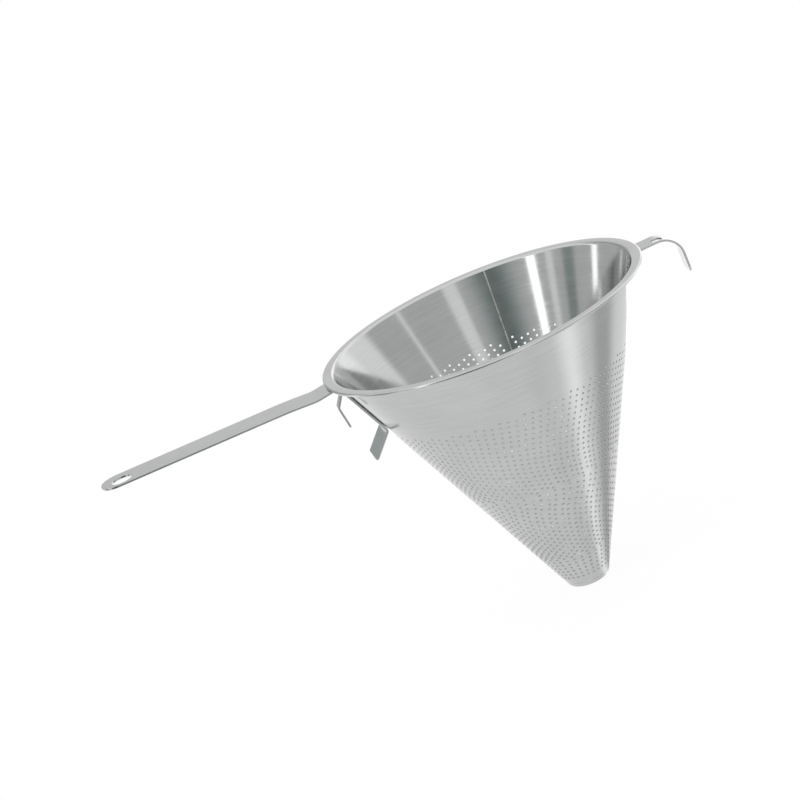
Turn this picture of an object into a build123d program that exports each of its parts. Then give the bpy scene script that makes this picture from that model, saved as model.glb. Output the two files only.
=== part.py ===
from build123d import *
from math import cos, pi, radians, sin, sqrt, tan
import os

os.makedirs("parts", exist_ok=True)

# A chinois strainer: a perforated sheet cone with a rolled rim, a strap handle that runs
# down the cone and ends in a pot rest, and a front strap that hooks over a pot.
# Frame: +Z up along the cone's axis, origin at the centre of the mouth, level with the top
# of the rim, the handle along -X and the front hook along +X. Millimetres.

# Strainer body
rim_radius = 117.8
rim_bead_radius = 1.15
mouth_radius = 111.4
half_angle = 24.4
cone_depth = 209.0
wall = 1.0
flare_radius = 2.0

# Perforation: a fan of equal sectors, three columns wide at the top, then two, then one
hole_diameter = 1.9
fan_sectors = 32
first_row_slant = 213.9
fan_phase = 4.05
column_spread_share = 0.31
row_pitch = 4.35
wide_rows = 17
wide_columns = 3
wide_step = 1.45
middle_rows = 16
middle_pitch = 4.4
middle_columns = 2
middle_step = 2.2
tip_rows = 6
tip_pitch = 3.8
zone_gap = 3.1
# How far the columns swing to one side on their way down, as shares of one sector
wide_swing_shares = (0, -0.12, -0.22, -0.37, -0.5, -0.6, -0.71, -0.76, -0.73, -0.69, -0.62)
middle_swing_shares = (0, -0.1, -0.38, -0.62, -0.77, -0.9, -0.96, -0.95, -0.92, -0.74, -0.6)
seam_angle = 74.0
seam_clear = 1.6

# Seam weld inside the cone
seam_bead_width = 1.6
seam_bead_height = 0.25
seam_bead_end = 4.0

# End plug of the tip, a little hollow on the inside
cap_height = 3.4
cap_corner = 2.4
cap_hollow = 0.6
tip_weld_width = 1.6
tip_weld_height = 0.35

# Handle strap: straight from its free end to the knee, down to a dip beside the rim, up
# under the rim, down along the cone and out again in the pot rest
handle_reach = 283.5
handle_width = 26.6
handle_thickness = 1.6
handle_slope = 1.5
handle_corner = 12.0
knee_reach = 148.0
knee_drop = 2.5
knee_bend = 200.0
dip_reach = 127.0
dip_drop = 4.0
dip_bend = 25.0
dip_rise = 7.0
handle_bend = 3.6
tang_depth = 44.0
flap_length = 22.5
flap_angle = 43.0
flap_bend = 3.0
flap_corner = 1.5
hang_hole_diameter = 14.5
hang_hole_reach = 268.8
hang_hole_offset = 3.0

# Spot welds between the straps and the cone
strap_seat = 0.3
spot_diameter = 6.0
tang_spots = 3
tang_spot_first = 14.0
tang_spot_pitch = 11.0

# Narrow tongue under the root of the handle
tongue_width = 7.5
tongue_thickness = 1.5
tongue_pad_top = 7.2
tongue_pad = 3.4
tongue_jog = 9.0
tongue_jog_angle = 33.0
tongue_drop = 14.5
tongue_bend = 1.6
tongue_weld_diameter = 2.4
tongue_weld_gap = 0.2

# Front hook strap
hook_width = 19.0
hook_thickness = 1.6
hook_drop = 4.5
hook_reach = 147.8
hook_bend = 16.0
hook_leg = 28.0
hook_leg_angle = 1.0
hook_root_bend = 2.4
hook_tang_depth = 30.0
hook_corner = 3.5
hook_slot_length = 7.0
hook_slot_width = 8.0
hook_slot_corner = 1.6
hook_slot_start = 129.2
hook_slot_offset = 3.2
hook_spots = 2
hook_spot_first = 13.0
hook_spot_pitch = 10.0

# One overrun for every cut
overrun = 5.0

apex_depth = mouth_radius / tan(radians(half_angle))
lean_out = sin(radians(half_angle))
lean_up = cos(radians(half_angle))
hole_radius = hole_diameter / 2


def slant_of(z):
    return (apex_depth + z) / lean_up


def outer_radius(z):
    return (apex_depth + z) * tan(radians(half_angle))


def on_cone(slant, angle, depth=0.0):
    """A point at a slant distance from the apex, sunk by depth into the wall."""
    radius = slant * lean_out - depth * lean_up
    height = slant * lean_up + depth * lean_out - apex_depth
    return Vector(radius * cos(angle), radius * sin(angle), height)


def in_section(radius, height):
    """A point of the body's section, in the half plane that holds the weld seam."""
    turn = radians(seam_angle)
    return Vector(radius * cos(turn), radius * sin(turn), height)


def spin(edge):
    return Face.revolve(edge, 360, Axis.Z)


def swing(shares, place):
    """The sideways swing at a place from 0 to 1 down a band, in radians."""
    last = len(shares) - 1
    step = min(int(place * last), last - 1)
    part = place * last - step
    share = shares[step] + (shares[step + 1] - shares[step]) * part
    return share * 2 * pi / fan_sectors


def band_holes(top_slant, rows, pitch, columns, step, spread_share, shares):
    """Hole places as (slant, angle) in one band of the cone, clear of the weld seam."""
    places = []
    sector = 2 * pi / fan_sectors
    turn = radians(seam_angle)
    for row in range(rows):
        lean = swing(shares, row / rows) if shares else 0.0
        for column in range(columns):
            slant = top_slant - row * pitch - column * step
            for copy in range(fan_sectors):
                angle = radians(fan_phase) + sector * (copy + column * spread_share) + lean
                off = (angle - turn + pi) % (2 * pi) - pi
                if abs(off) * slant * lean_out > hole_radius + seam_clear:
                    places.append((slant, angle))
    return places


def hole_ring(slant, angle, depth):
    out = Vector(lean_up * cos(angle), lean_up * sin(angle), -lean_out)
    side = Vector(-sin(angle), cos(angle), 0)
    return Edge.make_circle(hole_radius, Plane(on_cone(slant, angle, depth), side, out))


def skin_band(low_slant, high_slant, depth, places):
    """One skin of the wall between two slants, open at its holes."""
    turn = radians(seam_angle)
    edge = Edge.make_line(on_cone(low_slant, turn, depth), on_cone(high_slant, turn, depth))
    rings = [Wire([hole_ring(slant, angle, depth)]) for slant, angle in places]
    return spin(edge).make_holes(rings)


def hole_walls(places):
    walls = []
    for slant, angle in places:
        inward = Vector(-lean_up * cos(angle), -lean_up * sin(angle), lean_out)
        walls.append(Face.extrude(hole_ring(slant, angle, 0), inward * wall))
    return walls


def rim_faces():
    """The flared lip and its rolled bead, from the outer skin round to the inner skin."""
    middle_r = outer_radius(-wall - flare_radius) + flare_radius / lean_up
    middle_z = -wall - flare_radius
    half_out, half_up = -lean_up, 1 + lean_out
    size = sqrt(half_out**2 + half_up**2)

    def on_bend(radius, out, up):
        return in_section(middle_r + radius * out, middle_z + radius * up)

    def bend(radius):
        start = on_bend(radius, -lean_up, lean_out)
        middle = on_bend(radius, half_out / size, half_up / size)
        return Edge.make_three_point_arc(start, middle, on_bend(radius, 0, 1))

    bead_r = rim_radius - rim_bead_radius
    rise = rim_bead_radius - wall
    root = in_section(bead_r - sqrt(rim_bead_radius**2 - rise**2), -wall)
    top = in_section(bead_r, 0)
    roll = Edge.make_three_point_arc(top, in_section(bead_r, -2 * rim_bead_radius), root)
    under = Edge.make_line(on_bend(flare_radius, 0, 1), root)
    over = Edge.make_line(on_bend(flare_radius + wall, 0, 1), top)
    edges = (bend(flare_radius), under, roll, over, bend(flare_radius + wall))
    return [spin(edge) for edge in edges], slant_of(middle_z + flare_radius * lean_out)


def cone_shell():
    wide_last = first_row_slant - (wide_rows - 1) * row_pitch - (wide_columns - 1) * wide_step
    middle_first = wide_last - zone_gap
    middle_last = middle_first - (middle_rows - 1) * middle_pitch - middle_step
    tip_first = middle_last - zone_gap
    wide = band_holes(first_row_slant, wide_rows, row_pitch, wide_columns, wide_step,
                      column_spread_share, wide_swing_shares)
    middle = band_holes(middle_first, middle_rows, middle_pitch, middle_columns, middle_step,
                        1 / middle_columns, middle_swing_shares)
    tip = band_holes(tip_first, tip_rows, tip_pitch, 1, 0, 0, ())
    faces, top_slant = rim_faces()
    end_slant = slant_of(-cone_depth)
    cuts = (top_slant, wide_last - zone_gap / 2, middle_last - zone_gap / 2, end_slant)
    for places, high, low in zip((wide, middle, tip), cuts, cuts[1:]):
        faces += [skin_band(low, high, 0, places), skin_band(low, high, wall, places)]
        faces += hole_walls(places)
    turn = radians(seam_angle)
    end = Edge.make_line(on_cone(end_slant, turn), on_cone(end_slant, turn, wall))
    faces.append(spin(end))
    print("holes in the wall:", len(wide) + len(middle) + len(tip))
    return Solid(Shell(faces))


def cone_cutter(depth, low, high):
    """A solid cone that ends at a skin of the wall, for trimming what lies on it."""
    drop = depth / lean_up
    with BuildPart() as cutter:
        with BuildSketch(Plane.XZ):
            with BuildLine():
                Polyline((0, low), (outer_radius(low) - drop, low),
                         (outer_radius(high) - drop, high), (0, high), close=True)
            make_face()
        revolve(axis=Axis.Z)
    return cutter.part


def seam_weld():
    """A low round bead along the closing seam, on the inside of the wall."""
    top = slant_of(-seam_bead_end)
    end = slant_of(-cone_depth) + seam_bead_end
    turn = radians(seam_angle)
    bead_radius = (seam_bead_width**2 / 4 + seam_bead_height**2) / (2 * seam_bead_height)
    sink = wall - (bead_radius - seam_bead_height)
    start, stop = on_cone(end, turn, sink), on_cone(top, turn, sink)
    along = stop - start
    bead = Solid.make_cylinder(bead_radius, along.length, Plane(start, z_dir=along))
    return bead & cone_cutter(wall, -cone_depth, 0)


def tip_cap():
    """The plug that closes the tip, butted to the end of the cone."""
    edge_out, edge_in = on_cone(slant_of(-cone_depth), 0), on_cone(slant_of(-cone_depth), 0, wall)
    bottom = -cone_depth - cap_height
    inside = -cone_depth - cap_hollow
    drop = wall / lean_up
    with BuildPart() as cap:
        with BuildSketch(Plane.XZ):
            with BuildLine():
                Polyline((edge_out.X, edge_out.Z), (outer_radius(bottom), bottom), (0, bottom),
                         (0, inside), (outer_radius(inside) - drop, inside),
                         (edge_in.X, edge_in.Z), close=True)
            make_face()
        revolve(axis=Axis.Z)
        rings = cap.edges().filter_by(GeomType.CIRCLE)
        fillet(rings.sort_by(Axis.Z)[:1], cap_corner)
    return cap.part


def tip_weld():
    """A low ring of weld over the joint of the cone and its cap."""
    middle = slant_of(-cone_depth)
    half = tip_weld_width / 2
    low, high = on_cone(middle - half, 0), on_cone(middle + half, 0)
    crown = on_cone(middle, 0, -tip_weld_height)
    with BuildPart() as ring:
        with BuildSketch(Plane.XZ):
            with BuildLine():
                Line((high.X, high.Z), (low.X, low.Z))
                ThreePointArc((low.X, low.Z), (crown.X, crown.Z), (high.X, high.Z))
            make_face()
        revolve(axis=Axis.Z)
    return ring.part


def strap(points, bends, thickness, width):
    """Flat strip bent along a path in the XZ plane."""
    with BuildPart() as strip:
        with BuildSketch(Plane.XZ):
            with BuildLine():
                FilletPolyline(*points, radius=bends)
            trace(line_width=thickness)
        extrude(amount=width / 2, both=True)
    return strip.part


def beside_cone(z, offset):
    """Distance from the axis of a line beside the cone, at an offset from its outer skin."""
    return outer_radius(z) + offset / lean_up


def handle_points():
    """The handle's middle line, from its free end to the end of the pot rest."""
    half = handle_thickness / 2
    end_z = -knee_drop - half + (handle_reach - knee_reach) * tan(radians(handle_slope))
    rise = tan(radians(dip_rise))
    offset = strap_seat + half
    dip_z = -dip_drop - half
    ease = 1 + rise * tan(radians(half_angle))
    corner_r = beside_cone(dip_z + dip_reach * rise, offset) / ease
    corner_z = dip_z + (dip_reach - corner_r) * rise
    rest_r = beside_cone(-tang_depth, offset)
    out = flap_length * sin(radians(flap_angle))
    down = flap_length * cos(radians(flap_angle))
    return [(-handle_reach, end_z), (-knee_reach, -knee_drop - half), (-dip_reach, dip_z),
            (-corner_r, corner_z), (-rest_r, -tang_depth),
            (-rest_r - out, -tang_depth - down)]


def end_corners(strip, height_rank):
    """The two short edges across the sheet at one end of a strap."""
    short = strip.edges().filter_by(GeomType.LINE).filter_by(
        lambda edge: edge.length < 2 * handle_thickness)
    return short.sort_by(height_rank)[:2]


def handle():
    half = handle_thickness / 2
    bends = [knee_bend, dip_bend, handle_bend + half, flap_bend + half]
    points = handle_points()
    strip = strap(points, bends, handle_thickness, handle_width)
    strip = fillet(end_corners(strip, Axis.X), handle_corner)
    strip = fillet(end_corners(strip, Axis.Z), flap_corner)
    height = points[0][1] - (handle_reach - hang_hole_reach) * tan(radians(handle_slope))
    centre = Vector(-hang_hole_reach, -hang_hole_offset, height)
    up = Vector(sin(radians(handle_slope)), 0, cos(radians(handle_slope)))
    hole = Solid.make_cylinder(hang_hole_diameter / 2, 2 * overrun,
                               Plane(centre - up * overrun, z_dir=up))
    return strip - hole


def hook_points():
    """The hook's middle line, from the end of its leg to the end of its tang."""
    offset = strap_seat + hook_thickness / 2
    level = -hook_drop - hook_thickness / 2
    lean = hook_leg * tan(radians(hook_leg_angle))
    corner_r = hook_reach - hook_thickness / 2 - lean
    root_r = beside_cone(level, offset)
    return [(corner_r + lean, level - hook_leg), (corner_r, level), (root_r, level),
            (beside_cone(-hook_tang_depth, offset), -hook_tang_depth)]


def front_hook():
    half = hook_thickness / 2
    strip = strap(hook_points(), [hook_bend - half, hook_root_bend + half],
                  hook_thickness, hook_width)
    strip = fillet(end_corners(strip, Axis.Z), hook_corner)
    middle = hook_slot_start + hook_slot_length / 2
    with BuildPart() as slot:
        with BuildSketch(Plane.XY.offset(-hook_drop - hook_thickness / 2)):
            with Locations((middle, -hook_slot_offset)):
                RectangleRounded(hook_slot_length, hook_slot_width, hook_slot_corner)
        extrude(amount=overrun, both=True)
    return strip - slot.part


def spot_welds(side, count, first, pitch):
    """Weld nuggets that fill the seat between a strap's tang and the cone."""
    nuggets = []
    for spot in range(count):
        slant = slant_of(-first) - spot * pitch
        out = Vector(side * lean_up, 0, -lean_out)
        start = on_cone(slant, 0, wall)
        start = Vector(side * start.X, 0, start.Z)
        nugget = Solid.make_cylinder(spot_diameter / 2, wall + strap_seat, Plane(start, z_dir=out))
        nuggets.append(nugget - cone_cutter(0, -cone_depth, 0))
    return Compound(children=nuggets)


def tongue_offset():
    return strap_seat + handle_thickness + tongue_weld_gap + tongue_thickness / 2


def tongue():
    top_r = beside_cone(-tongue_pad_top, tongue_offset())
    pad = (top_r - tongue_pad * lean_out, -tongue_pad_top - tongue_pad * lean_up)
    jog_out = tongue_jog * sin(radians(tongue_jog_angle))
    jog = (pad[0] + jog_out, pad[1] - tongue_jog * cos(radians(tongue_jog_angle)))
    points = [(-top_r, -tongue_pad_top), (-pad[0], pad[1]), (-jog[0], jog[1]),
              (-jog[0], jog[1] - tongue_drop)]
    bend = tongue_bend + tongue_thickness / 2
    return strap(points, [bend, bend], tongue_thickness, tongue_width)


def tongue_weld():
    slant = slant_of(-tongue_pad_top) - tongue_pad / 2
    out = Vector(-lean_up, 0, -lean_out)
    face = on_cone(slant, 0, -strap_seat - handle_thickness)
    start = Vector(-face.X, 0, face.Z)
    return Solid.make_cylinder(tongue_weld_diameter / 2, tongue_weld_gap, Plane(start, z_dir=out))


def write(name, shape):
    export_step(shape, "parts/" + name + ".step", write_pcurves=False)


write("cone_shell", cone_shell())
write("cone_seam_weld", seam_weld())
write("tip_cap", tip_cap())
write("tip_weld_ring", tip_weld())
write("handle_strap", handle())
write("handle_spot_welds", spot_welds(-1, tang_spots, tang_spot_first, tang_spot_pitch))
write("pan_tongue", tongue())
write("pan_tongue_weld", tongue_weld())
write("front_hook", front_hook())
write("front_hook_spot_welds", spot_welds(1, hook_spots, hook_spot_first, hook_spot_pitch))
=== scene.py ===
import math
import bpy
import bmesh
from mathutils import Matrix, Vector
from mathutils.geometry import delaunay_2d_cdt


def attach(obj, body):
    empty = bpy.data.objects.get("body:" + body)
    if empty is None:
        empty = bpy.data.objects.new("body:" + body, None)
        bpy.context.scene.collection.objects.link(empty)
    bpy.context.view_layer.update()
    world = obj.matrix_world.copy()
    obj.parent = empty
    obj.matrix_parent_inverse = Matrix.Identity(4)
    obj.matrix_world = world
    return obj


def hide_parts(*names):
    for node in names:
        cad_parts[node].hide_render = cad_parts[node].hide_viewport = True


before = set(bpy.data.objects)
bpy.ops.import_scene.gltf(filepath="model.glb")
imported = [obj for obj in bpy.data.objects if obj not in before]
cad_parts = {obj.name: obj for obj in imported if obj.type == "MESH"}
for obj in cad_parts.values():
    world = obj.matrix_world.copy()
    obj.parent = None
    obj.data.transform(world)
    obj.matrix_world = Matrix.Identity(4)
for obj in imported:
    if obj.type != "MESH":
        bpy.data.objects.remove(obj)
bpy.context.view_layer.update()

MM = 0.001
TURN = 2 * math.pi

# The strainer's own sizes, in millimetres, as in the CAD. Only the holes are a little smaller,
# as in the photograph, and SEAM_CLEAR is larger by as much, so the same holes are left out
RIM_R = 117.8
BEAD_R = 1.15
MOUTH_R = 111.4
HALF_ANGLE = math.radians(24.4)
CONE_DEPTH = 209.0
WALL = 1.0
FLARE_R = 2.0
HOLE_R = 0.85
SECTORS = 32
FAN_PHASE = math.radians(4.05)
SEAM_ANGLE = math.radians(74.0)
SEAM_CLEAR = 1.7
# The rows from the top down: first slant, rows, pitch, columns, step, spread and swing shares
BANDS = (
    (213.9, 17, 4.35, 3, 1.45, 0.31,
     (0, -0.12, -0.22, -0.37, -0.5, -0.6, -0.71, -0.76, -0.73, -0.69, -0.62)),
    (138.3, 16, 4.4, 2, 2.2, 0.5,
     (0, -0.1, -0.38, -0.62, -0.77, -0.9, -0.96, -0.95, -0.92, -0.74, -0.6)),
    (67.0, 6, 3.8, 1, 0.0, 0.0, (0, 0)),
)

# How finely the body is divided, the rounding of its edges, and how far the perforated sheet
# goes on above the first row of holes
BODY_SEGMENTS, SEAM_STEPS, HOLE_STEPS = 288, 60, 16
BODY_ROUNDING = 0.12
SHEET_SPARE = 2.4
# Lines of plan points near the tip, above its end, that keep the triangles there short
TIP_LINES = (1.4, 2.9, 4.4)
TIP_LINE_STEPS = 144
# How near points are merged, in metres
MERGE = 2e-6

LEAN_OUT = math.sin(HALF_ANGLE)
LEAN_UP = math.cos(HALF_ANGLE)
APEX = MOUTH_R / math.tan(HALF_ANGLE)


def slant_of(z):
    """The distance from the cone's apex, along its outside, to a height."""
    return (APEX + z) / LEAN_UP


def outer_radius(z):
    return (APEX + z) * math.tan(HALF_ANGLE)


def on_cone(slant, angle, depth=0.0):
    """A point of the wall in millimetres: a slant distance, an angle and a depth from outside."""
    radius = slant * LEAN_OUT - depth * LEAN_UP
    height = slant * LEAN_UP + depth * LEAN_OUT - APEX
    return Vector((radius * math.cos(angle), radius * math.sin(angle), height))


def swing(shares, place):
    """How far a row swings sideways: its share at a place of 0 to 1 down the band."""
    last = len(shares) - 1
    step = min(int(place * last), last - 1)
    part = place * last - step
    return (shares[step] + (shares[step + 1] - shares[step]) * part) * TURN / SECTORS


def hole_places():
    """The slant and the angle from the seam of each hole that stays clear of the seam."""
    places = []
    for first, rows, pitch, columns, step, spread, shares in BANDS:
        for row in range(rows):
            lean = swing(shares, row / rows)
            for column in range(columns):
                slant = first - row * pitch - column * step
                for copy in range(SECTORS):
                    angle = FAN_PHASE + TURN / SECTORS * (copy + column * spread) + lean
                    off = (angle - SEAM_ANGLE + math.pi) % TURN - math.pi
                    if abs(off) * slant * LEAN_OUT > HOLE_R + SEAM_CLEAR:
                        places.append((slant, (angle - SEAM_ANGLE) % TURN))
    return places


def new_piece(name, bm, material):
    """A named object of the finished bmesh, which rides on the one body."""
    mesh = bpy.data.meshes.new(name)
    bm.to_mesh(mesh)
    bm.free()
    piece = bpy.data.objects.new(name, mesh)
    bpy.context.scene.collection.objects.link(piece)
    mesh.materials.append(material)
    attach(piece, "root")
    return piece


class Sheet:
    """A flat plan with holes, given a thickness and rounded edges, then bent by a map.

    bend(u, v, depth) returns a point in millimetres. Loops are closed lists of plan points.
    """

    EDGE_STEPS = 3
    PLAN_SPARE = 1e-7
    SLIVER = 1e-4

    def __init__(self, bend, thickness, rounding):
        self.bend, self.thickness, self.rounding = bend, thickness, rounding
        self.points, self.keys, self.edges, self.loops = [], [], [], []

    def add_loop(self, points, hole, tag):
        """points run anticlockwise; the material lies inside them, or outside for a hole."""
        count = len(points)
        away = []
        for i in range(count):
            before, after = points[i - 1], points[(i + 1) % count]
            along = Vector((after[0] - before[0], after[1] - before[1])).normalized()
            out = Vector((along.y, -along.x))
            away.append(-out if hole else out)
        start = len(self.points)
        for point, out in zip(points, away):
            self.points.append(Vector(point) - out * self.rounding)
            self.keys.append(tag)
        self.edges += [(start + i, start + (i + 1) % count) for i in range(count)]
        self.loops.append((start, [Vector(p) for p in points], away))

    def add_line(self, points):
        """A line of plan points across the material, where the sheet has to bend."""
        start = len(self.points)
        for point in points:
            self.points.append(Vector(point))
            self.keys.append(None)
        self.edges += [(start + i, start + i + 1) for i in range(len(points) - 1)]

    def build(self, keep):
        """The finished bmesh. keep(a, b, c) says whether a triangle of the plan is material."""
        plan, _, triangles, origins, _, _ = delaunay_2d_cdt(
            self.points, self.edges, [], 1, self.PLAN_SPARE, True)
        bm = bmesh.new()
        key_of = [self.keys[o[0]] if o else None for o in origins]
        place_of = {o[0]: i for i, o in enumerate(origins) if o}
        top = [bm.verts.new(self.bend(p.x, p.y, 0.0) * MM) for p in plan]
        low = [bm.verts.new(self.bend(p.x, p.y, self.thickness) * MM) for p in plan]
        for a, b, c in triangles:
            keys = key_of[a], key_of[b], key_of[c]
            inside_hole = keys[0] is not None and keys[0] == keys[1] == keys[2]
            if inside_hole and keys[0] != "outline":
                continue
            middle = (plan[a] + plan[b] + plan[c]) / 3
            if self.is_sliver(plan[a], plan[b], plan[c]) or not keep(middle.x, middle.y):
                continue
            bm.faces.new((top[a], top[b], top[c]))
            bm.faces.new((low[c], low[b], low[a]))
        for start, points, away in self.loops:
            self.edge_faces(bm, top, low, place_of, start, points, away)
        bmesh.ops.delete(bm, geom=[v for v in bm.verts if not v.link_faces], context="VERTS")
        bmesh.ops.recalc_face_normals(bm, faces=bm.faces[:])
        return bm

    def is_sliver(self, a, b, c):
        longest = max((b - a).length, (c - b).length, (a - c).length)
        return abs((b - a).cross(c - a)) < self.SLIVER * longest

    def edge_faces(self, bm, top, low, place_of, start, points, away):
        """The rounded wall of faces round one loop, from the top skin to the low one."""
        count, r, t = len(points), self.rounding, self.thickness
        rows = [[top[place_of[start + i]] for i in range(count)]]
        for step in range(1, self.EDGE_STEPS + 1):
            angle = math.pi / 2 * step / self.EDGE_STEPS
            inset, depth = r * (1 - math.sin(angle)), r * (1 - math.cos(angle))
            rows.append([self.rim_vert(bm, p, o, inset, depth) for p, o in zip(points, away)])
        for step in range(self.EDGE_STEPS):
            angle = math.pi / 2 * (1 - step / self.EDGE_STEPS)
            inset, depth = r * (1 - math.sin(angle)), t - r * (1 - math.cos(angle))
            rows.append([self.rim_vert(bm, p, o, inset, depth) for p, o in zip(points, away)])
        rows.append([low[place_of[start + i]] for i in range(count)])
        for upper, under in zip(rows, rows[1:]):
            for i in range(count):
                j = (i + 1) % count
                bm.faces.new((upper[i], under[i], under[j], upper[j]))

    def rim_vert(self, bm, point, out, inset, depth):
        at = point - out * inset
        return bm.verts.new(self.bend(at.x, at.y, depth) * MM)


def smooth(piece, angle):
    """Smooth shading in which the large faces rule, so that flat stretches stay flat."""
    with bpy.context.temp_override(object=piece, active_object=piece,
                                   selected_editable_objects=[piece]):
        bpy.ops.object.shade_smooth_by_angle(angle=math.radians(angle))
    weighted = piece.modifiers.new("weighted", "WEIGHTED_NORMAL")
    weighted.weight = 100
    weighted.keep_sharp = True


# Materials


class Nodes:
    """Short calls for the node tree of a material or a world."""

    def __init__(self, owner):
        owner.use_nodes = True
        self.tree = owner.node_tree

    def add(self, kind, **settings):
        node = self.tree.nodes.new(kind)
        for key, value in settings.items():
            setattr(node, key, value)
        return node

    def link(self, out, into):
        self.tree.links.new(out, into)

    def feed(self, node, values):
        """Gives a node's first sockets numbers or links, and returns its first output."""
        for socket, value in zip(node.inputs, values):
            if isinstance(value, (int, float)):
                socket.default_value = value
            else:
                self.link(value, socket)
        return node.outputs[0]

    def math(self, operation, *values):
        return self.feed(self.add("ShaderNodeMath", operation=operation), values)

    def combine(self, x, y, z):
        return self.feed(self.add("ShaderNodeCombineXYZ"), (x, y, z))

    def separate(self, vector):
        node = self.add("ShaderNodeSeparateXYZ")
        self.link(vector, node.inputs[0])
        return node.outputs

    def noise(self, vector, scale, detail, roughness):
        node = self.add("ShaderNodeTexNoise")
        node.inputs["Scale"].default_value = scale
        node.inputs["Detail"].default_value = detail
        node.inputs["Roughness"].default_value = roughness
        self.link(vector, node.inputs["Vector"])
        return node.outputs["Fac"]

    def ramp(self, value, low, high, from_low=0.3, from_high=0.7):
        """A soft step from low to high. A noise stays mostly within 0.3 to 0.7."""
        node = self.add("ShaderNodeMapRange", interpolation_type="SMOOTHSTEP")
        node.inputs["From Min"].default_value = from_low
        node.inputs["From Max"].default_value = from_high
        node.inputs["To Min"].default_value = low
        node.inputs["To Max"].default_value = high
        self.link(value, node.inputs["Value"])
        return node.outputs["Result"]

    def grey(self, value, tint):
        parts = [self.math("MULTIPLY", value, share) for share in tint]
        return self.feed(self.add("ShaderNodeCombineColor"), parts)

    def bump(self, height, distance):
        node = self.add("ShaderNodeBump")
        node.inputs["Strength"].default_value = 1.0
        node.inputs["Distance"].default_value = distance
        self.link(height, node.inputs["Height"])
        return node.outputs["Normal"]

    def place(self):
        return self.add("ShaderNodeTexCoord").outputs["Object"]

    def heading(self, x, y):
        """The heading of a direction in degrees, counted from +X towards +Y."""
        return self.math("MULTIPLY", self.math("ARCTAN2", y, x), 360 / TURN)

    def near(self, heading, centre, half, soft):
        """1 near a heading and 0 away from it, with soft edges."""
        away = self.math("ABSOLUTE", self.math("SUBTRACT", heading, centre))
        away = self.math("MINIMUM", away, self.math("SUBTRACT", 360.0, away))
        return self.ramp(away, 1.0, 0.0, half - soft, half + soft)

    def shaded(self, heading, level, table):
        """The level, made lighter or darker near the headings in a table."""
        for centre, half, soft, gain in table:
            share = self.near(heading, centre, half, soft)
            level = self.math("ADD", self.math("MULTIPLY", share, gain), level)
        return level


# The grain of the brushed steel: waves along and across it for each metre, for the strokes of
# the brush round the cone for each radian and metre, and how much finer the fine grain is
GRAIN_ALONG, GRAIN_ACROSS, GRAIN_FINER = 14.0, 900.0, 2.5
ROUND_ALONG, ROUND_ACROSS = 0.8, 600.0
ROUND_FINE_ALONG, ROUND_FINE_ACROSS = 4.0, 1800.0
# How much the grain, the large patches and the fine grain change the tone, and the grain and
# the smudges the roughness
COARSE_TONE, PATCH_TONE, FINE_TONE = 0.012, 0.012, 0.02
UNEVEN_LOW, UNEVEN_HIGH = -0.015, 0.02
PATCH_SCALE, SMUDGE_SCALE = 22.0, 90.0
FINE_SHARE = 0.6
STEEL_TINT = (0.99, 1.0, 0.998)
# A quarter turn: in a render the highlights are drawn out along the tangent
ACROSS_TANGENT = 0.25


def new_material(name):
    """A material, short calls for its nodes, and its shader."""
    material = bpy.data.materials.new(name)
    n = Nodes(material)
    return material, n, n.tree.nodes["Principled BSDF"]


def steel(name, around, base, rough, grain_depth, anisotropy):
    """Stainless steel, brushed around the cone's axis or else along the strap."""
    material, n, shader = new_material(name)
    place = n.place()
    x, y, z = n.separate(place)
    if around:
        angle = n.math("ARCTAN2", y, x)
        lines = n.combine(n.math("MULTIPLY", angle, ROUND_ALONG), 0.0,
                          n.math("MULTIPLY", z, ROUND_ACROSS))
        fine_lines = n.combine(n.math("MULTIPLY", angle, ROUND_FINE_ALONG), 1.0,
                               n.math("MULTIPLY", z, ROUND_FINE_ACROSS))
    else:
        lines, fine_lines = [
            n.combine(n.math("MULTIPLY", x, GRAIN_ALONG * finer),
                      n.math("MULTIPLY", y, GRAIN_ACROSS * finer),
                      n.math("MULTIPLY", z, GRAIN_ALONG * finer))
            for finer in (1.0, GRAIN_FINER)]
    coarse = n.noise(lines, scale=1.0, detail=4.0, roughness=0.6)
    fine = n.noise(fine_lines, scale=1.0, detail=3.0, roughness=0.7)
    patches = n.noise(place, PATCH_SCALE, detail=4.0, roughness=0.6)
    smudges = n.noise(place, SMUDGE_SCALE, detail=3.0, roughness=0.5)
    tone = n.math("ADD", n.ramp(coarse, -COARSE_TONE, COARSE_TONE),
                  n.ramp(patches, -PATCH_TONE, PATCH_TONE))
    tone = n.math("ADD", tone, n.ramp(fine, -FINE_TONE, FINE_TONE))
    tone = n.math("ADD", tone, base)
    n.link(n.grey(tone, STEEL_TINT), shader.inputs["Base Color"])
    uneven = n.math("ADD", n.ramp(smudges, UNEVEN_LOW, UNEVEN_HIGH),
                    n.ramp(coarse, UNEVEN_LOW, UNEVEN_HIGH))
    n.link(n.math("ADD", uneven, rough), shader.inputs["Roughness"])
    shader.inputs["Metallic"].default_value = 1.0
    shader.inputs["Anisotropic"].default_value = anisotropy
    height = n.math("ADD", n.math("MULTIPLY", fine, FINE_SHARE),
                    n.math("MULTIPLY", coarse, 1 - FINE_SHARE))
    n.link(n.bump(height, grain_depth), shader.inputs["Normal"])
    if around:
        tangent = n.add("ShaderNodeTangent", direction_type="RADIAL", axis="Z")
        n.link(tangent.outputs[0], shader.inputs["Tangent"])
        shader.inputs["Anisotropic Rotation"].default_value = ACROSS_TANGENT
    return material


WELD_TINT = (1.0, 0.97, 0.92)
WELD_GRAINS, WELD_STAINS, WELD_BUMP = 900.0, 140.0, 0.00008
WELD_TONE, WELD_SPECKLE, WELD_ROUGH = (0.36, 0.52), (-0.06, 0.06), (0.32, 0.5)


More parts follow.
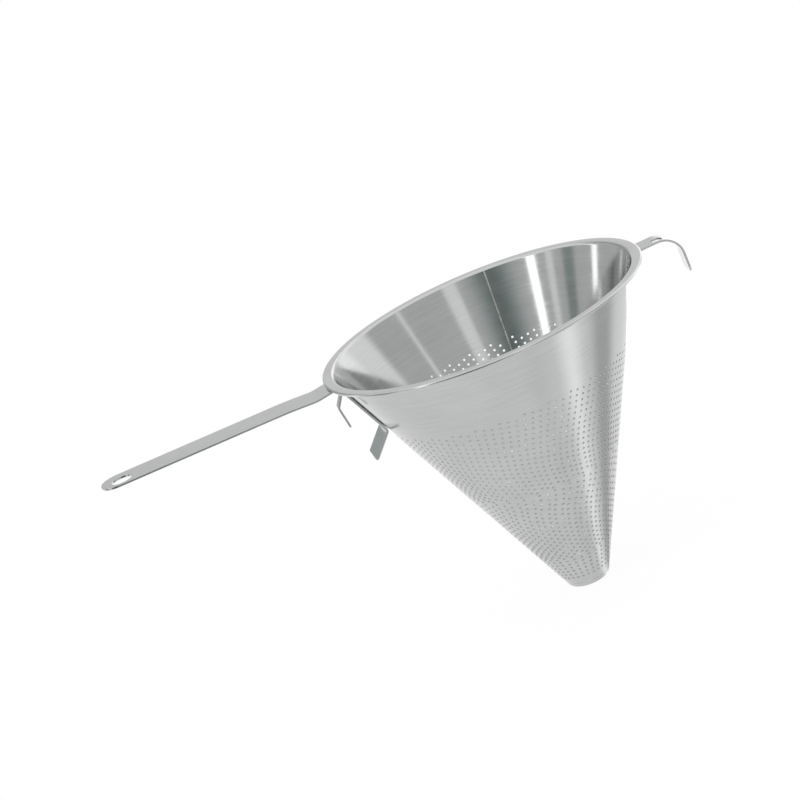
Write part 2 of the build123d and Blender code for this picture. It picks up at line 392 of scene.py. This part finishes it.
def weld_metal(name):
    """Cleaned weld metal: darker, grainy and a little warm."""
    material, n, shader = new_material(name)
    place = n.place()
    grains = n.noise(place, WELD_GRAINS, detail=4.0, roughness=0.6)
    stains = n.noise(place, WELD_STAINS, detail=3.0, roughness=0.6)
    tone = n.math("ADD", n.ramp(stains, *WELD_TONE), n.ramp(grains, *WELD_SPECKLE))
    n.link(n.grey(tone, WELD_TINT), shader.inputs["Base Color"])
    n.link(n.ramp(grains, *WELD_ROUGH), shader.inputs["Roughness"])
    shader.inputs["Metallic"].default_value = 1.0
    n.link(n.bump(grains, WELD_BUMP), shader.inputs["Normal"])
    return material


CONE_STEEL = steel("cone_steel", around=True, base=0.5, rough=0.13, grain_depth=2e-6,
                   anisotropy=0.6)
RIM_STEEL = steel("rim_steel", around=True, base=0.52, rough=0.2, grain_depth=2e-6,
                  anisotropy=0.4)
STRAP_STEEL = steel("strap_steel", around=False, base=0.5, rough=0.24, grain_depth=4e-7,
                    anisotropy=0.0)
WELD = weld_metal("weld_metal")


# Pieces


def ring_hole(centre, radius, steps):
    """A round hole's loop of plan points."""
    return [Vector(centre) + Vector((math.cos(TURN * i / steps), math.sin(TURN * i / steps)))
            * radius for i in range(steps)]


def cone_sheet():
    """The perforated wall from the tip to the plain band, made flat and rolled up.

    Returns the bmesh and the slants of its top and its end.
    """
    top_slant = BANDS[0][0] + SHEET_SPARE
    end_slant = slant_of(-CONE_DEPTH)
    flat = TURN * LEAN_OUT

    def plan(slant, angle):
        turned = angle * LEAN_OUT - flat / 2
        return slant * math.cos(turned), slant * math.sin(turned)

    def bend_back(u, v, depth):
        turned = (math.atan2(v, u) + flat / 2) / LEAN_OUT
        return on_cone(math.hypot(u, v), turned + SEAM_ANGLE, depth)

    sheet = Sheet(bend_back, WALL, BODY_ROUNDING)
    around, down = BODY_SEGMENTS, SEAM_STEPS
    height = top_slant - end_slant
    outline = [plan(end_slant, TURN * (1 - i / around)) for i in range(around)]
    outline += [plan(end_slant + height * i / down, 0.0) for i in range(down)]
    outline += [plan(top_slant, TURN * i / around) for i in range(around)]
    outline += [plan(top_slant - height * i / down, TURN) for i in range(down)]
    # The border keeps its sharp edges, because it meets itself at the seam and the turned bands
    sheet.points = [Vector(p) for p in outline]
    count = len(outline)
    sheet.keys = ["outline"] * count
    sheet.edges = [(i, (i + 1) % count) for i in range(count)]
    for number, (slant, angle) in enumerate(hole_places()):
        sheet.add_loop(ring_hole(plan(slant, angle), HOLE_R, HOLE_STEPS), True, number)
    for line in TIP_LINES:
        for i in range(1, TIP_LINE_STEPS):
            sheet.points.append(Vector(plan(end_slant + line, TURN * i / TIP_LINE_STEPS)))
            sheet.keys.append(None)

    def keep(u, v):
        turned = (math.atan2(v, u) + flat / 2) / LEAN_OUT
        spare = 1e-4
        nearest = end_slant * math.cos(TURN * LEAN_OUT / around)
        return nearest - spare < math.hypot(u, v) and -spare < turned < TURN + spare

    return sheet.build(keep), top_slant, end_slant


def add_turned(bm, profile, segments, closed=False):
    """Turns a profile of (radius, height) in millimetres about the cone's axis.

    It starts at the seam, so that its points fall on those of the rolled sheet.
    """
    rings = []
    for radius, height in profile:
        ring = []
        for i in range(segments):
            angle = SEAM_ANGLE + TURN * i / segments
            point = Vector((radius * math.cos(angle), radius * math.sin(angle), height))
            ring.append(bm.verts.new(point * MM))
        rings.append(ring)
    pairs = list(zip(rings, rings[1:]))
    if closed:
        pairs.append((rings[-1], rings[0]))
    for low, high in pairs:
        for i in range(segments):
            j = (i + 1) % segments
            bm.faces.new((low[i], low[j], high[j], high[i]))


def arc(centre, radius, start, stop, steps):
    """Points on an arc between two angles in degrees."""
    points = []
    for i in range(steps + 1):
        angle = math.radians(start + (stop - start) * i / steps)
        points.append((centre[0] + radius * math.cos(angle),
                       centre[1] + radius * math.sin(angle)))
    return points


# The steps of the arcs of the rim, the shares at which the plain band is divided, and where the
# brushed steel of the rim begins, by height and by radius, in metres
FLARE_STEPS, BEAD_STEPS = 10, 24
BAND_SHARES = (0.25, 0.5, 0.75)
RIM_FROM_Z, RIM_FROM_R = -0.0035, 0.1105


def strainer_body():
    """The perforated sheet, the plain band, the flared lip, the rolled rim and the tip's edge."""
    bm, top_slant, end_slant = cone_sheet()
    middle = (outer_radius(-WALL - FLARE_R) + FLARE_R / LEAN_UP, -WALL - FLARE_R)
    bead = (RIM_R - BEAD_R, -BEAD_R)
    lean = math.degrees(HALF_ANGLE)
    band = slant_of(middle[1] + FLARE_R * LEAN_OUT) - top_slant

    def wall(shares, depth):
        places = [on_cone(top_slant + band * share, 0.0, depth) for share in shares]
        return [(point.x, point.z) for point in places]

    outer = wall((0.0,) + BAND_SHARES, 0.0)
    outer += arc(middle, FLARE_R, 180 - lean, 90, FLARE_STEPS)
    meet = math.degrees(math.asin((BEAD_R - WALL) / BEAD_R))
    roll = arc(bead, BEAD_R, 180 - meet, 360 + 90, BEAD_STEPS)
    inner = arc(middle, FLARE_R + WALL, 90, 180 - lean, FLARE_STEPS)
    inner += wall(BAND_SHARES[::-1] + (0.0,), WALL)
    add_turned(bm, outer + roll + inner, BODY_SEGMENTS)
    end_out, end_in = on_cone(end_slant, 0.0), on_cone(end_slant, 0.0, WALL)
    add_turned(bm, [(end_in.x, end_in.z), (end_out.x, end_out.z)], BODY_SEGMENTS)
    bmesh.ops.remove_doubles(bm, verts=bm.verts[:], dist=MERGE)
    bmesh.ops.recalc_face_normals(bm, faces=bm.faces[:])
    piece = new_piece("strainer_body", bm, CONE_STEEL)
    piece.data.materials.append(RIM_STEEL)
    for face in piece.data.polygons:
        if face.center.z > RIM_FROM_Z or math.hypot(face.center.x, face.center.y) > RIM_FROM_R:
            face.material_index = 1
    body_normals(piece)
    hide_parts("cone_shell")


# How squarely a face looks across the wall if it is part of a skin, and at most if it is part
# of a hole, then how far the true cone goes on above the foot of the flare, in millimetres
SKIN_FACING, HOLE_FACING = 0.985, 0.5
SKIN_SPARE = 1.0


def body_normals(piece):
    """Exact normals on the two skins of the cone, so that the wall shades as a true cone.

    The walls of the holes are left flat, and the rim keeps its smooth shading.
    """
    mesh = piece.data
    for face in mesh.polygons:
        face.use_smooth = True
    low, high = slant_of(-CONE_DEPTH), slant_of(-WALL - FLARE_R) + SKIN_SPARE
    corner_normals = [Vector(c.vector) for c in mesh.corner_normals]
    for face in mesh.polygons:
        flat = face.normal
        centre = face.center / MM
        angle = math.atan2(centre.y, centre.x)
        skin = Vector((LEAN_UP * math.cos(angle), LEAN_UP * math.sin(angle), -LEAN_OUT))
        facing = flat.dot(skin)
        slant = (centre.z + APEX) * LEAN_UP + math.hypot(centre.x, centre.y) * LEAN_OUT
        for loop in face.loop_indices:
            if abs(facing) > SKIN_FACING and low < slant < high:
                point = mesh.vertices[mesh.loops[loop].vertex_index].co
                turn = math.atan2(point.y, point.x)
                exact = Vector((LEAN_UP * math.cos(turn), LEAN_UP * math.sin(turn), -LEAN_OUT))
                corner_normals[loop] = exact if facing > 0 else -exact
            elif abs(facing) < HOLE_FACING and slant < high:
                corner_normals[loop] = flat
    mesh.normals_split_custom_set(corner_normals)


strainer_body()


# A strap has a line of points for each so many degrees of a bend and each so many millimetres of
# a curled run, none of them nearer than this to the next one or to a hole
BEND_STEP = 4.0
CURL_STEP = 5
LINE_SPARE = 1
CORNER_STEPS = 6
STRAP_ROUNDING = 0.3
STRAP_SMOOTH = 35.0
# Where a line of points across a strap has its points, in shares of the half width
LINE_SHARES = (-0.9, -0.45, 0.0, 0.45, 0.9)
HANG_STEPS = 48


class Path:
    """A middle line in the XZ plane made of straight runs and tangent arcs."""

    HALVINGS = 40

    def __init__(self, points, radii):
        self.parts = []
        here = Vector(points[0])
        for i in range(1, len(points) - 1):
            corner, after = Vector(points[i]), Vector(points[i + 1])
            into, out = (corner - Vector(points[i - 1])).normalized(), (after - corner).normalized()
            turn = into.angle_signed(out) * -1
            radius = radii[i - 1]
            cut = radius * math.tan(abs(turn) / 2)
            self.straight(here, corner - into * cut)
            self.parts.append(("arc", corner - into * cut, into, turn, radius))
            here = corner + out * cut
        self.straight(here, Vector(points[-1]))
        self.length = sum(self.size(p) for p in self.parts)

    def straight(self, start, end):
        self.parts.append(("line", start, (end - start).normalized(), (end - start).length, 0.0))

    def size(self, part):
        """The length of one run or arc."""
        return part[3] if part[0] == "line" else abs(part[3]) * part[4]

    def at(self, place):
        """The point and the direction at a length along the path."""
        for index, part in enumerate(self.parts):
            size = self.size(part)
            if place <= size or index == len(self.parts) - 1:
                break
            place -= size
        kind, start, along, turn, radius = part
        if kind == "line":
            return start + along * place, along
        sign = 1 if turn > 0 else -1
        side = Vector((-along.y, along.x)) * sign
        angle = place / radius
        point = start + along * radius * math.sin(angle) + side * radius * (1 - math.cos(angle))
        spun = Matrix.Rotation(sign * angle, 2) @ along
        return point, spun

    def place_of(self, x):
        """The length along the path at which it reaches an x, on a path that only nears it."""
        low, high = 0.0, self.length
        falling = self.at(0.0)[0].x > x
        for _ in range(self.HALVINGS):
            middle = (low + high) / 2
            if (self.at(middle)[0].x > x) == falling:
                low = middle
            else:
                high = middle
        return low

    def stations(self):
        """Lengths along the path at which a bent strap needs a line of points."""
        found, place = [], 0.0
        for part in self.parts:
            size = self.size(part)
            if part[0] == "arc":
                count = max(2, round(math.degrees(abs(part[3])) / BEND_STEP))
                found += [place + size * i / count for i in range(count + 1)]
            place += size
        return found


def rounded(corners, radii):
    """A closed anticlockwise loop with its square corners rounded."""
    loop = []
    count = len(corners)
    for i in range(count):
        corner = Vector(corners[i])
        before, after = Vector(corners[i - 1]), Vector(corners[(i + 1) % count])
        radius = radii[i]
        into, out = (before - corner).normalized(), (after - corner).normalized()
        start, end = corner + into * radius, corner + out * radius
        middle = start + out * radius
        for step in range(CORNER_STEPS + 1):
            angle = math.pi / 2 * step / CORNER_STEPS
            loop.append(middle - out * radius * math.cos(angle) - into * radius * math.sin(angle))
    return loop


def strap_piece(name, path, width, thickness, corners, holes, hug=None, slant=0.0):
    """A bent flat strap. corners are the radii at its two ends, holes are loops of its plan.

    hug(place) says how far the strap curls round the cone at a length along the path.
    slant turns the strap's far side outwards where the path rises, as on the hook's leg.
    """
    half = width / 2

    def bend(u, v, depth):
        inside = min(max(u, 0.0), path.length)
        point, along = path.at(inside)
        up = Vector((-along.y, along.x))
        curl = hug(inside) * v * v if hug else 0.0
        place = point + along * (u - inside) + up * (thickness / 2 - depth + curl)
        turned = slant * max(0.0, along.y) * (v + half)
        return Vector((place.x + turned, v, place.y))

    first, last = corners
    loop = rounded([(0, -half), (path.length, -half), (path.length, half), (0, half)],
                   [first, last, last, first])
    stations = path.stations()
    if hug:
        extra = [place for place in range(0, int(path.length), CURL_STEP) if hug(place) != 0]
        stations += [e for e in extra if all(abs(e - place) > LINE_SPARE for place in stations)]
        stations.sort()
    for side, order in ((-half, 1), (half, -1)):
        on_side = [i for i, point in enumerate(loop) if abs(point.y - side) < 1e-5]
        start = next(i for i in on_side if i + 1 in on_side)
        loop[start + 1:start + 1] = [Vector((place, side)) for place in stations[::order]]
    sheet = Sheet(bend, thickness, STRAP_ROUNDING)
    sheet.add_loop(loop, False, "outline")
    for number, ring in enumerate(holes):
        sheet.add_loop(ring, True, number)
    spans = [(min(p.x for p in ring), max(p.x for p in ring)) for ring in holes]
    for station in stations:
        if not any(low - LINE_SPARE < station < high + LINE_SPARE for low, high in spans):
            sheet.add_line([(station, half * share) for share in LINE_SHARES])
    piece = new_piece(name, sheet.build(lambda u, v: True), STRAP_STEEL)
    smooth(piece, STRAP_SMOOTH)
    return piece


# Straps, in millimetres. The sizes are the CAD's, but for the handle's tang and flap, the
# tongue's jog, drop and lean and the hook's leg and slant, which are fitted to the photograph
SEAT = 0.3
HANDLE = {"reach": 283.5, "width": 26.6, "thick": 1.6, "slope": math.radians(1.5),
          "corners": (12.0, 1.5), "knee": (148.0, 2.5), "knee_bend": 200.0, "dip": (127.0, 4.0),
          "dip_bend": 25.0, "rise": math.radians(7.0), "bend": 3.6, "tang": 45.6,
          "flap": 21.2, "flap_angle": math.radians(43.0), "flap_bend": 3.0,
          "hole_r": 7.25, "hole_reach": 268.8, "hole_offset": 3.0}
TONGUE = {"width": 7.5, "thick": 1.5, "top": 7.2, "pad": 3.4, "jog": 10.0,
          "angle": math.radians(33.0), "drop": 15.9, "lean": math.radians(8.2), "bend": 1.6,
          "gap": 0.2, "corners": (0.6, 1.2)}
HOOK = {"width": 19.0, "thick": 1.6, "drop": 4.5, "reach": 147.8, "bend": 16.0, "leg": 29.2,
        "angle": math.radians(1.0), "root_bend": 2.4, "tang": 30.0, "corners": (3.5, 1.0),
        "slant": 0.1, "slot": (7.0, 8.0, 1.6), "slot_start": 129.2, "slot_offset": 3.2}


def beside_cone(z, offset):
    """The radius at which a line lies off the cone's outside by an offset, at a height."""
    return outer_radius(z) + offset / LEAN_UP


def curl_on(path, side):
    """The curl of a strap where it lies on the cone. side is the way it leans, 1 or -1."""
    down = Vector((side * LEAN_OUT, -LEAN_UP))

    # The curl is that of the cone's own circle, and it fades where the strap turns off the cone
    def curl(place):
        point, along = path.at(place)
        share = max(0.0, 2 * along.dot(down) - 1)
        share *= share * (3 - 2 * share)
        return side * 0.5 * LEAN_UP * share / outer_radius(point.y)
    return curl


def handle_strap():
    """The grip with its hanging hole, the root, the tang on the cone and the outward flap."""
    h = HANDLE
    half = h["thick"] / 2
    knee_r, knee_drop = h["knee"]
    dip_r, dip_drop = h["dip"]
    rise = math.tan(h["rise"])
    offset = SEAT + half
    ease = 1 + rise * math.tan(HALF_ANGLE)
    corner_r = beside_cone(-dip_drop - half + dip_r * rise, offset) / ease
    rest_r = beside_cone(-h["tang"], offset)
    points = [(-h["reach"], -knee_drop - half + (h["reach"] - knee_r) * math.tan(h["slope"])),
              (-knee_r, -knee_drop - half), (-dip_r, -dip_drop - half),
              (-corner_r, -dip_drop - half + (dip_r - corner_r) * rise), (-rest_r, -h["tang"]),
              (-rest_r - h["flap"] * math.sin(h["flap_angle"]),
               -h["tang"] - h["flap"] * math.cos(h["flap_angle"]))]
    radii = [h["knee_bend"], h["dip_bend"], h["bend"] + half, h["flap_bend"] + half]
    hole = ring_hole(((h["reach"] - h["hole_reach"]) / math.cos(h["slope"]),
                      -h["hole_offset"]), h["hole_r"], HANG_STEPS)
    path = Path(points, radii)
    piece = strap_piece("handle_strap_steel", path, h["width"], h["thick"], h["corners"],
                        [hole], hug=curl_on(path, 1))
    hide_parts("handle_strap")


def tongue_strap():
    """The narrow tongue on the outside of the handle's tang."""
    t = TONGUE
    offset = SEAT + HANDLE["thick"] + t["gap"] + t["thick"] / 2
    top_r = beside_cone(-t["top"], offset)
    pad = (top_r - t["pad"] * LEAN_OUT, -t["top"] - t["pad"] * LEAN_UP)
    jog = (pad[0] + t["jog"] * math.sin(t["angle"]), pad[1] - t["jog"] * math.cos(t["angle"]))
    points = [(-top_r, -t["top"]), (-pad[0], pad[1]), (-jog[0], jog[1]),
              (-jog[0] + t["drop"] * math.tan(t["lean"]), jog[1] - t["drop"])]
    bend = t["bend"] + t["thick"] / 2
    piece = strap_piece("pan_tongue_steel", Path(points, [bend, bend]), t["width"], t["thick"],
                        t["corners"], [])
    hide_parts("pan_tongue")


def hook_strap():
    """The front strap: a leg that bends down, a level run with a slot, and a tang on the cone."""
    k = HOOK
    half = k["thick"] / 2
    level = -k["drop"] - half
    lean = k["leg"] * math.tan(k["angle"])
    corner_r = k["reach"] - half - lean
    points = [(corner_r + lean, level - k["leg"]), (corner_r, level),
              (beside_cone(level, SEAT + half), level),
              (beside_cone(-k["tang"], SEAT + half), -k["tang"])]
    path = Path(points, [k["bend"] - half, k["root_bend"] + half])
    length, wide, radius = k["slot"]
    ends = [path.place_of(x) for x in (k["slot_start"] + length, k["slot_start"])]
    sides = [-k["slot_offset"] - wide / 2, -k["slot_offset"] + wide / 2]
    slot = rounded([(ends[0], sides[0]), (ends[1], sides[0]), (ends[1], sides[1]),
                    (ends[0], sides[1])], [radius] * 4)
    piece = strap_piece("front_hook_steel", path, k["width"], k["thick"], k["corners"],
                        [slot], hug=curl_on(path, -1), slant=k["slant"])
    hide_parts("front_hook")


handle_strap()
tongue_strap()
hook_strap()

for node in ("tip_cap", "tip_weld_ring", "cone_seam_weld", "handle_spot_welds",
             "pan_tongue_weld", "front_hook_spot_welds"):
    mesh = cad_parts[node].data
    mesh.materials.clear()
    mesh.materials.append(CONE_STEEL if node in ("tip_cap", "tip_weld_ring") else WELD)


# The welds, in millimetres: the seam's half width, height, depth in the wall, ripple, how far it
# stays from the mouth and the tip and how closely it is divided, then the ring's sizes
BEAD_HALF, BEAD_HEIGHT, BEAD_SUNK = 0.55, 0.16, 0.03
RIPPLE_PITCH, RIPPLE_SHARE = 0.9, 0.18
BEAD_TOP, BEAD_SPARE, BEAD_STEP, BEAD_SIDES = 2.2, 1.0, 0.3, 6
BEAD_SMOOTH = 60.0
RING_HALF, RING_PROUD, RING_EDGE, RING_SUNK = 0.7, 0.04, 0.01, 0.3
RING_SMOOTH = 40.0
RING_SEGMENTS = 144


def seam_bead():
    """The low rippled weld along the closing seam, on the inside of the wall."""
    top, end = slant_of(-BEAD_TOP), slant_of(-CONE_DEPTH) + BEAD_SPARE
    count = int((top - end) / BEAD_STEP)
    bm = bmesh.new()
    rows = []
    for i in range(count + 1):
        slant = end + (top - end) * i / count
        wave = 1 + RIPPLE_SHARE * math.cos(TURN * slant / RIPPLE_PITCH)
        row = []
        for j in range(BEAD_SIDES + 1):
            share = -1 + 2 * j / BEAD_SIDES
            rise = BEAD_HEIGHT * (1 - share * share) * wave - BEAD_SUNK
            angle = SEAM_ANGLE + share * BEAD_HALF * wave / (slant * LEAN_OUT)
            row.append(bm.verts.new(on_cone(slant, angle, WALL + rise) * MM))
        rows.append(row)
    for low, high in zip(rows, rows[1:]):
        for j in range(BEAD_SIDES):
            bm.faces.new((low[j], low[j + 1], high[j + 1], high[j]))
        bm.faces.new((low[-1], low[0], high[0], high[-1]))
    bm.faces.new(rows[0][::-1])
    bm.faces.new(rows[-1])
    bmesh.ops.recalc_face_normals(bm, faces=bm.faces[:])
    piece = new_piece("seam_bead", bm, WELD)
    smooth(piece, BEAD_SMOOTH)
    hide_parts("cone_seam_weld")


def tip_ring():
    """The ground weld round the tip, almost flush with the wall."""
    low, high = -CONE_DEPTH - RING_HALF, -CONE_DEPTH + RING_HALF
    bm = bmesh.new()
    profile = [(outer_radius(low) - RING_SUNK, low), (outer_radius(low) + RING_EDGE, low),
               (outer_radius(-CONE_DEPTH) + RING_PROUD, -CONE_DEPTH),
               (outer_radius(high) + RING_EDGE, high), (outer_radius(high) - RING_SUNK, high)]
    add_turned(bm, profile, RING_SEGMENTS, closed=True)
    bmesh.ops.recalc_face_normals(bm, faces=bm.faces[:])
    piece = new_piece("tip_ring", bm, CONE_STEEL)
    smooth(piece, RING_SMOOTH)
    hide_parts("tip_weld_ring")


seam_bead()
tip_ring()


# Floor, light and camera


# The floor lies just under the tip cap, and the cards just above the floor
FLOOR_Z = -(CONE_DEPTH + 3.4) * MM
FLOOR_R = 0.42
FLOOR_SEGMENTS = 128
FLOOR_GLOW, GLOW_SHARE = 1.02, 0.9
CARDS_LIFT = 0.0005


def disc(name, height):
    """A flat disc under the object, and short calls for the nodes of its material."""
    bm = bmesh.new()
    bmesh.ops.create_circle(bm, cap_ends=True, segments=FLOOR_SEGMENTS, radius=FLOOR_R)
    mesh = bpy.data.meshes.new(name)
    bm.to_mesh(mesh)
    bm.free()
    plane = bpy.data.objects.new(name, mesh)
    plane.location.z = height
    bpy.context.scene.collection.objects.link(plane)
    material, n, shader = new_material(name)
    mesh.materials.append(material)
    return plane, n, shader


def floor():
    """A round pale floor: white to the eye and in the steel, with the object's shadow on it."""
    plane, n, shader = disc("floor", FLOOR_Z)
    shader.inputs["Base Color"].default_value = (0.9, 0.9, 0.9, 1.0)
    shader.inputs["Roughness"].default_value = 0.9
    glow = n.add("ShaderNodeEmission")
    glow.inputs["Strength"].default_value = FLOOR_GLOW
    path = n.add("ShaderNodeLightPath")
    seen = n.math("MAXIMUM", path.outputs["Is Camera Ray"], path.outputs["Is Glossy Ray"])
    seen = n.math("MAXIMUM", seen, path.outputs["Is Transmission Ray"])
    mix = n.add("ShaderNodeMixShader")
    n.link(n.math("MULTIPLY", seen, GLOW_SHARE), mix.inputs[0])
    n.link(shader.outputs[0], mix.inputs[1])
    n.link(glow.outputs[0], mix.inputs[2])
    n.link(mix.outputs[0], n.tree.nodes["Material Output"].inputs["Surface"])


# Soft shades of the cards that lie round the object: a heading and a half width in degrees,
# the softness of the edges and how much lighter or darker than the floor
CARD_SHADES = ((-42, 9, 9, 0.42), (-4, 13, 9, -0.38), (-75, 8, 8, -0.06))


def cards():
    """Pale and dark cards on the floor round the object, which only reflections show."""
    plane, n, _ = disc("cards", FLOOR_Z + CARDS_LIFT)
    x, y, _ = n.separate(n.place())
    glow = n.add("ShaderNodeEmission")
    n.link(n.shaded(n.heading(x, y), 1.0, CARD_SHADES), glow.inputs["Strength"])
    n.link(glow.outputs[0], n.tree.nodes["Material Output"].inputs["Surface"])
    plane.visible_camera = plane.visible_diffuse = plane.visible_shadow = False
    plane.visible_transmission = False


# What stands round the studio, as the steel sees it: a heading and a half width in degrees,
# the softness of the edges and how much lighter or darker than the plain walls it is
STUDIO_WALL = 0.68
STUDIO_BOXES = (
    (20, 22, 4, 0.52), (38, 14, 6, 0.3), (62, 9, 3, 0.9), (84, 15, 3, 0.16), (107, 10, 6, -0.22),
    (148, 2.8, 1.0, 1.4), (174, 5, 2, -0.3), (-169, 3, 1.2, 0.4), (-153.5, 3.6, 0.5, 2.0),
    (-118, 14, 14, -0.46), (-83, 6, 1.5, 0.42), (-36, 1.6, 1, 0.5),
)
# Below the level the walls are darker in front and lighter behind, and overhead all is light
LOW_FROM, LOW_TO = -0.14, -0.03
LOW_FRONT, LOW_SHADE = (-118, 36, 8), 0.4
LOW_BACK, LOW_GLOW = (90, 50, 25), 0.55
OVERHEAD_FROM, OVERHEAD_TO, OVERHEAD = 0.6, 0.72, 1.15
# What the walls give to dull surfaces, and the tint of what is dark, as in the photograph
DULL = 0.95
DARK_TINT = (0.83, 1.0, 0.965, 1.0)
DARK_FROM, DARK_TO = 0.25, 0.75


def studio():
    """A white surround with soft boxes, strips and dark flags that only reflections show."""
    world = bpy.data.worlds.new("studio")
    bpy.context.scene.world = world
    n = Nodes(world)
    background = n.tree.nodes["Background"]
    x, y, z = n.separate(n.add("ShaderNodeTexCoord").outputs["Generated"])
    heading = n.heading(x, y)
    level = n.shaded(heading, STUDIO_WALL, STUDIO_BOXES)
    above = n.ramp(z, 0.0, 1.0, OVERHEAD_FROM, OVERHEAD_TO)
    level = n.math("ADD", n.math("MULTIPLY", level, n.math("SUBTRACT", 1.0, above)),
                   n.math("MULTIPLY", above, OVERHEAD))
    low = n.ramp(z, 1.0, 0.0, LOW_FROM, LOW_TO)
    front = n.math("MULTIPLY", low, n.near(heading, *LOW_FRONT))
    back = n.math("MULTIPLY", low, n.near(heading, *LOW_BACK))
    level = n.math("MULTIPLY", level, n.ramp(front, 1.0, LOW_SHADE, 0.0, 1.0))
    level = n.math("ADD", level, n.math("MULTIPLY", back, LOW_GLOW))
    path = n.add("ShaderNodeLightPath")
    glossy = path.outputs["Is Glossy Ray"]
    clear = n.math("MAXIMUM", path.outputs["Is Camera Ray"], path.outputs["Is Transmission Ray"])
    dull = n.math("ADD", n.math("MULTIPLY", glossy, -DULL), DULL)
    shown = n.math("ADD", n.math("MULTIPLY", level, glossy), dull)
    n.link(n.math("MAXIMUM", shown, clear), background.inputs["Strength"])
    # The dark flags are a little green, as the photographed steel is where it is dark
    pale = n.ramp(level, 0.0, 1.0, DARK_FROM, DARK_TO)
    pale = n.math("MAXIMUM", pale, n.math("SUBTRACT", 1.0, glossy))
    tint = n.add("ShaderNodeMix", data_type="RGBA")
    n.link(pale, tint.inputs["Factor"])
    tint.inputs[6].default_value = DARK_TINT
    tint.inputs[7].default_value = (1.0, 1.0, 1.0, 1.0)
    n.link(tint.outputs[2], background.inputs["Color"])


# The lamp, in metres and watts: its place, what it points at, its size and its power
LAMP_PLACE, LAMP_AIM = (-1.2, -1.0, 1.6), (0.0, 0.0, -0.1)
LAMP_SIZE, LAMP_POWER = (1.4, 1.0), 6.0


def lamp():
    """One soft lamp from the upper left, which reflections and the camera don't show."""
    light = bpy.data.lights.new("key", "AREA")
    light.shape = "RECTANGLE"
    light.size, light.size_y = LAMP_SIZE
    light.energy = LAMP_POWER
    holder = bpy.data.objects.new("key", light)
    holder.location = LAMP_PLACE
    aim = Vector(LAMP_AIM) - Vector(LAMP_PLACE)
    holder.rotation_euler = aim.to_track_quat("-Z", "Y").to_euler()
    holder.visible_camera = False
    holder.visible_glossy = False
    bpy.context.scene.collection.objects.link(holder)


# The view, fitted to the photograph: the camera's heading from +Y towards +X, how far it looks
# down and its roll in degrees, then the point it looks at and its distance in metres
VIEW_HEADING, VIEW_DOWN, VIEW_ROLL = 5.07, 16.92, -23.54
VIEW_AIM, VIEW_DISTANCE = (-0.0746, -0.0030, -0.0316), 1.3742
SENSOR_WIDTH, LENS, CLIP_END = 36.0, 90.0, 20.0


def camera():
    """The photograph's view: the camera is rolled, as the object leans in the picture."""
    data = bpy.data.cameras.new("camera")
    data.sensor_width, data.lens = SENSOR_WIDTH, LENS
    data.clip_end = CLIP_END
    holder = bpy.data.objects.new("camera", data)
    bpy.context.scene.collection.objects.link(holder)
    heading, down = math.radians(VIEW_HEADING), math.radians(VIEW_DOWN)
    look = Vector((math.sin(heading) * math.cos(down), math.cos(heading) * math.cos(down),
                   -math.sin(down)))
    roll = Matrix.Rotation(math.radians(VIEW_ROLL), 4, "Z")
    turn = look.to_track_quat("-Z", "Y").to_matrix().to_4x4() @ roll
    holder.matrix_world = Matrix.Translation(Vector(VIEW_AIM) - look * VIEW_DISTANCE) @ turn
    bpy.context.scene.camera = holder


floor()
cards()
studio()
lamp()
camera()
bpy.context.scene.view_settings.view_transform = "Standard"
